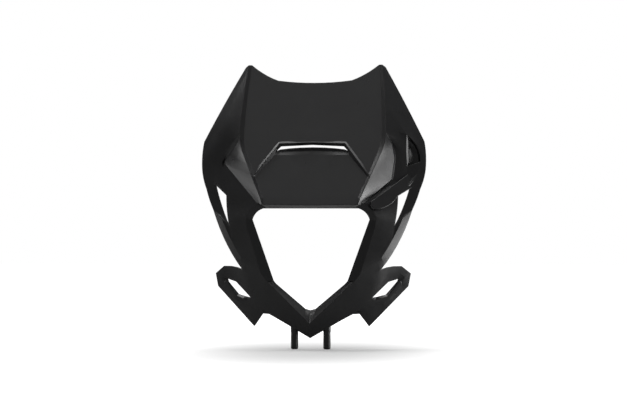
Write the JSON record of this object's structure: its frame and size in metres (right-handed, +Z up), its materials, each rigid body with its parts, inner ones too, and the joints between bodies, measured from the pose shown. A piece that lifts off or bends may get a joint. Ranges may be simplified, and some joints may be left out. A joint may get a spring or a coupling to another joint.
{
  "type": "headlight cowl",
  "caption": "Off-road motorcycle headlight cowl: a one-piece moulded plate with ridges, a vent, a lamp aperture, side wings, a hose hook and locating pins.",
  "frame": {"origin": "midway between the two locating pins, where their round shanks start above the rounded noses", "axes": "+Z up along the pins, the front of the cowl faces -Y, +X to the right as seen from the front"},
  "size_m": [0.2738, 0.0885, 0.345],
  "materials": {
    "black_plastic": "satin moulded black"
  },
  "bodies": {
    "root": {"cowl": "black_plastic"}
  },
  "joints": []
}
